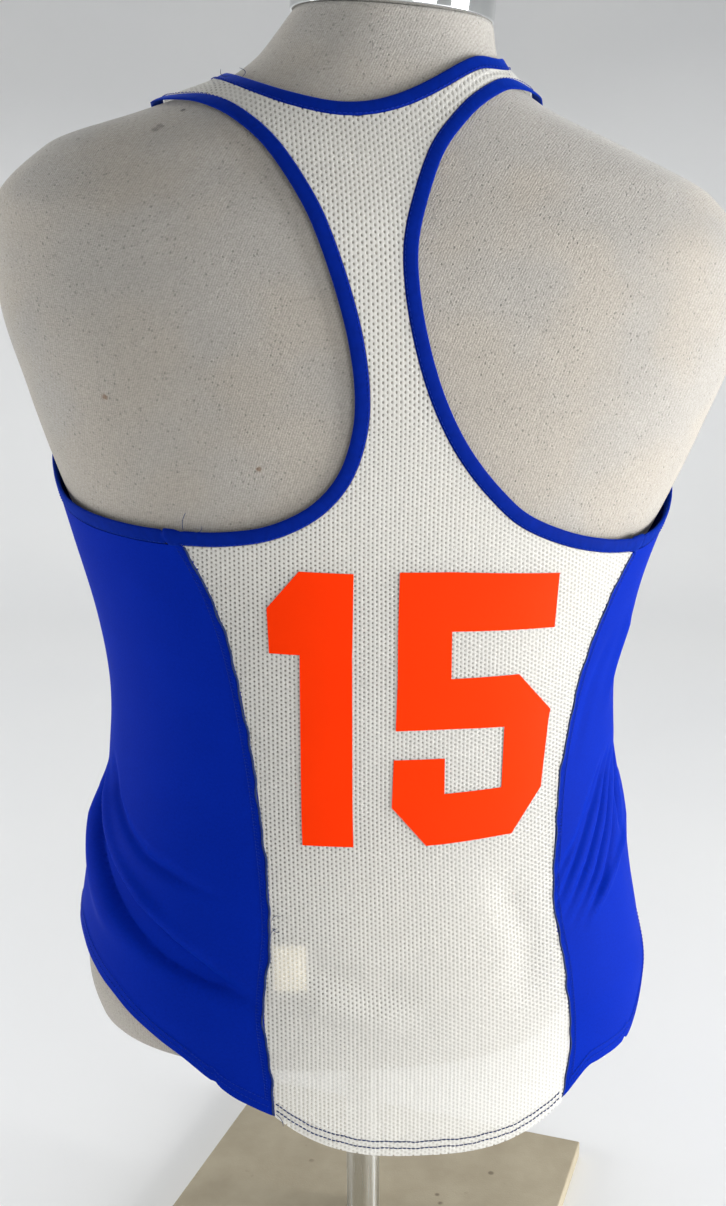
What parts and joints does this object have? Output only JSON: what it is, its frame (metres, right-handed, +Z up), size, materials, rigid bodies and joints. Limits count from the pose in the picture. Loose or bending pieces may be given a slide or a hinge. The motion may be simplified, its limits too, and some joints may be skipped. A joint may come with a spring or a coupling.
{
  "type": "racerback volleyball jersey on a tabletop dress form",
  "caption": "Sleeveless racerback volleyball jersey with mesh back, contrast side panels, bound edges and block numerals, worn by a limbless dress form on a pole and square base.",
  "frame": {"origin": "centre of the base plate's underside, below the pole", "axes": "+Z up, -Y towards the back of the jersey, which carries the numerals, and -X towards the wearer's left"},
  "size_m": [0.4356, 0.3398, 0.7998],
  "materials": {
    "plate_paint": "matt textured paint",
    "chrome": "polished",
    "knit_cover": "off-white jersey knit, slightly nubby",
    "white_mesh": "white eyelet mesh knit",
    "blue_knit": "royal blue smooth warp knit with a soft sheen",
    "orange_film": "smooth matt print film",
    "cream_satin": "satin ribbon"
  },
  "bodies": {
    "root": {"base_plate": "plate_paint", "pole": "chrome", "form_torso": "knit_cover", "neck_cap": "chrome", "back_panel": "white_mesh", "front_panel": "white_mesh", "side_panel_left": "blue_knit", "side_panel_right": "blue_knit", "armhole_binding_left": "blue_knit", "armhole_binding_right": "blue_knit", "neck_binding": "blue_knit", "numeral_1": "orange_film", "numeral_5": "orange_film", "care_label": "cream_satin"}
  },
  "joints": []
}
